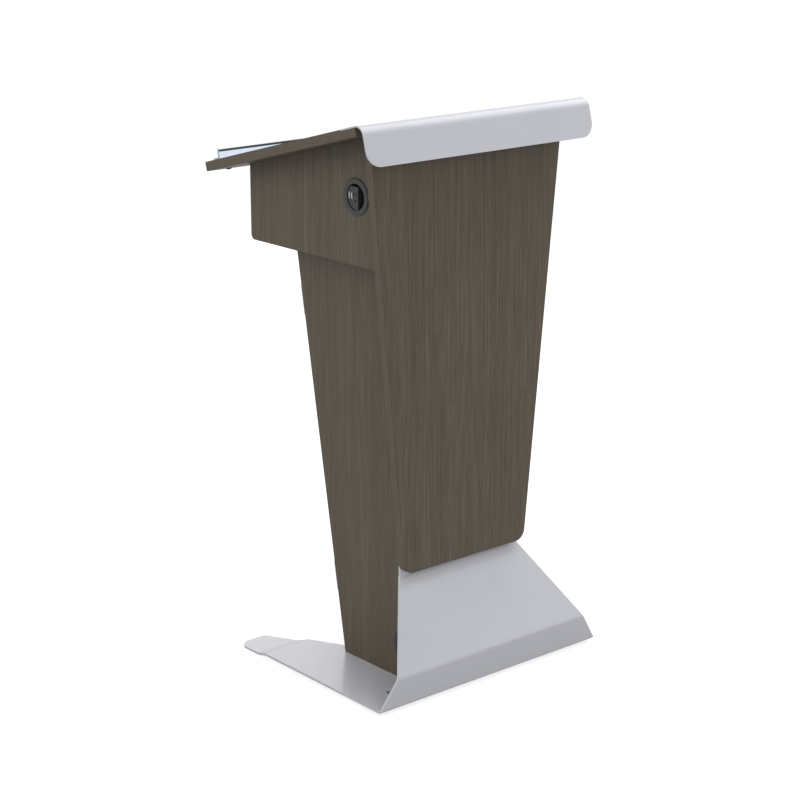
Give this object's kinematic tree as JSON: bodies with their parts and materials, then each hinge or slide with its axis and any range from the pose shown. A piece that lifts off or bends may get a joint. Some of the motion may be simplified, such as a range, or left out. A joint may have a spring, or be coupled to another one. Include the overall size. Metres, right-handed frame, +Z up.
{
  "type": "presentation lectern",
  "caption": "Presentation lectern with a walnut laminate column and shelf box, a folded grey steel base and cap, a sloping desk, a clear paper stop and round black ports",
  "frame": {"origin": "centre of the object's bounding box at floor level", "axes": "+Z up, +X to the right seen from the audience's side, audience at -Y, speaker at +Y"},
  "size_m": [0.61, 0.5766, 1.1932],
  "materials": {
    "laminate": "grey-brown walnut laminate, fine straight grain, matt",
    "powder_coated_steel": "pale silver-grey powder coat, satin",
    "black_plastic": "moulded black, fine matt texture",
    "plated_steel": "bright zinc plate",
    "rubber": "matt",
    "birch_dowel": "bare fluted wood",
    "clear_acrylic": "polished clear acrylic",
    "black_screw": "black oxide",
    "contact_brass": "plain",
    "brushed_pull": "satin brushed"
  },
  "bodies": {
    "root": {"steel_base": "powder_coated_steel", "front_feet": "rubber", "foot_screws": "plated_steel", "column_left_side": "laminate", "column_right_side": "laminate", "column_floor": "laminate", "base_screws": "plated_steel", "front_panel": "laminate", "flange_screws": "plated_steel", "angle_brackets": "plated_steel", "bracket_screws": "plated_steel", "box_left_side": "laminate", "box_right_side": "laminate", "box_floor": "laminate", "dowels": "birch_dowel", "desk_top": "laminate", "desk_cleats": "laminate", "cleat_screws": "plated_steel", "metal_cap": "powder_coated_steel", "cap_nuts": "plated_steel", "paper_stop": "clear_acrylic", "stop_screws": "black_screw", "power_bezel": "black_plastic", "power_faceplate": "black_plastic", "usb_ports": "plated_steel", "outlet_contacts": "contact_brass", "power_housing": "black_plastic", "power_inlet": "black_plastic", "power_lock_ring": "black_plastic", "cable_grommet": "black_plastic", "loose_shelf": "laminate", "shelf_pins": "plated_steel", "kick_rail": "laminate", "hinge_frame_leaves": "plated_steel", "hinge_pins": "plated_steel", "hinge_frame_screws": "plated_steel", "lock_strike": "plated_steel", "strike_screws": "plated_steel", "catch_magnet": "black_plastic"},
    "door": {"rear_door": "laminate", "hinge_door_leaves": "plated_steel", "hinge_door_screws": "plated_steel", "door_pull": "brushed_pull", "pull_screws": "plated_steel", "lock_housing": "plated_steel", "lock_nut": "plated_steel", "catch_plate": "plated_steel"},
    "lock": {"lock_plug": "plated_steel", "lock_cam": "plated_steel", "cam_screw": "plated_steel"},
    "lid": {"grommet_cap": "black_plastic"}
  },
  "joints": [
    {"name": "door_hinge", "type": "hinge", "parent": "root", "child": "door", "pos_m": [-0.142, 0.04149, 0.17886], "axis": [0, 0.1725, 0.985], "range_deg": [0, 110]},
    {"name": "lock_turn", "type": "hinge", "parent": "door", "child": "lock", "pos_m": [0.112, 0.11923, 0.6424], "axis": [0, -0.985, 0.1725], "range_deg": [0, 90]},
    {"name": "lid_turn", "type": "hinge", "parent": "root", "child": "lid", "pos_m": [-0.163, -0.19368, 0.091], "axis": [1, 0, 0], "continuous": true}
  ]
}
